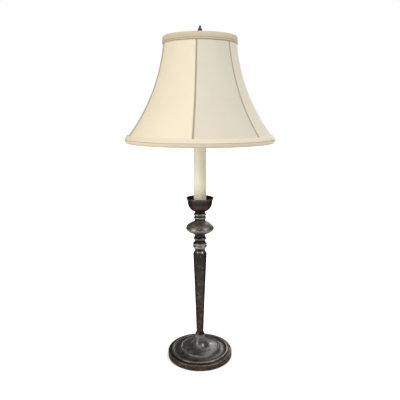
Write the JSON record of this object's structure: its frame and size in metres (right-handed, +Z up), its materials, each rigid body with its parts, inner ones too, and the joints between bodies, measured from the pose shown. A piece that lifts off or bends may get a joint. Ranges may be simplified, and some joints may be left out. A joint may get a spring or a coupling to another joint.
{
  "type": "table lamp",
  "caption": "Candlestick table lamp: dished round base, tapered faceted column, turned rings and knop, candle cup and sleeve, bell shade on a wire loop with a screw finial.",
  "frame": {"origin": "centre of the base's underside, on the surface the lamp stands on", "axes": "+Z up along the stem, -Y towards the side with the switch key, +Y towards the cord inlet"},
  "size_m": [0.3056, 0.3056, 0.6995],
  "materials": {
    "felt": "dark felt",
    "steel": "plain zinc-plated steel",
    "bronze_cast": "antiqued dark bronze over a cast base, satin",
    "bronze": "antiqued dark bronze, satin",
    "rubber": "black rubber",
    "sleeve": "ivory, matt",
    "brass": "plain brass",
    "liner": "brown fibre insulating sleeve",
    "porcelain": "white glazed",
    "aluminium": "plain",
    "black_plastic": "black, moulded",
    "bulb_glass": "frosted",
    "white_wire": "off-white enamel",
    "shade_silk": "cream silk, stretched",
    "trim_silk": "tan-cream silk binding",
    "piping": "taupe corded piping",
    "lining": "off-white lining"
  },
  "bodies": {
    "lamp": {"felt_pad": "felt", "base_weight": "steel", "base_nut": "steel", "base_washer": "steel", "base_casting": "bronze_cast", "cord_grommet": "rubber", "threaded_pipe": "steel", "column": "bronze", "lower_spindle": "bronze", "knop": "bronze", "upper_spindle": "bronze", "candle_cup": "bronze", "sleeve_seat": "steel", "candle_sleeve": "sleeve", "sleeve_cap": "brass", "harp_saddle": "brass", "harp_wire": "brass", "harp_top_plate": "brass", "harp_stud": "brass", "socket_cap": "brass", "set_screw": "steel", "socket_shell": "brass", "socket_liner": "liner", "socket_core": "porcelain", "terminal_screws": "brass", "screw_shell": "aluminium", "centre_contact": "brass"},
    "ferrule_left_body": {"ferrule_left": "brass"},
    "ferrule_right_body": {"ferrule_right": "brass"},
    "switch": {"switch_stem": "brass", "switch_key": "black_plastic"},
    "bulb_screw": {"bulb_cap": "aluminium"},
    "bulb": {"bulb_glass": "bulb_glass"},
    "shade": {"shade_hub": "brass", "spider_arms": "white_wire", "top_ring": "white_wire", "bottom_ring": "white_wire", "shade_ribs": "white_wire", "top_trim": "trim_silk", "bottom_trim": "trim_silk", "seam_pipings": "piping", "shade_lining": "lining", "shade_panel_1": "shade_silk", "shade_panel_2": "shade_silk", "shade_panel_3": "shade_silk", "shade_panel_4": "shade_silk", "shade_panel_5": "shade_silk", "shade_panel_6": "shade_silk"},
    "finial_screw": {"finial_insert": "brass"},
    "finial": {"finial_knob": "bronze"}
  },
  "joints": [
    {"name": "shade_swivel", "type": "hinge", "parent": "lamp", "child": "shade", "pos_m": [0, 0, 0.672], "axis": [0, 0, 1], "continuous": true},
    {"name": "switch_turn", "type": "hinge", "parent": "lamp", "child": "switch", "pos_m": [0, -0.02, 0.5036], "axis": [0, -1, 0], "continuous": true},
    {"name": "ferrule_left_slide", "type": "slide", "parent": "lamp", "child": "ferrule_left_body", "axis": [0, 0, 1], "range_m": [0, 0.012]},
    {"name": "ferrule_right_slide", "type": "slide", "parent": "lamp", "child": "ferrule_right_body", "axis": [0, 0, 1], "range_m": [0, 0.012]},
    {"name": "bulb_lift", "type": "slide", "parent": "lamp", "child": "bulb_screw", "axis": [0, 0, 1], "range_m": [0, 0.0146]},
    {"name": "bulb_turn", "type": "hinge", "parent": "bulb_screw", "child": "bulb", "pos_m": [0, 0, 0.56], "axis": [0, 0, 1], "range_deg": [0, 1440]},
    {"name": "finial_lift", "type": "slide", "parent": "lamp", "child": "finial_screw", "axis": [0, 0, 1], "range_m": [0, 0.008]},
    {"name": "finial_turn", "type": "hinge", "parent": "finial_screw", "child": "finial", "pos_m": [0, 0, 0.68], "axis": [0, 0, 1], "range_deg": [0, 3060]}
  ],
  "couplings": [
    {"joint": "bulb_lift", "follows": "bulb_turn", "m_per_rad": 0.0005775},
    {"joint": "finial_lift", "follows": "finial_turn", "m_per_rad": 0.0001497}
  ]
}
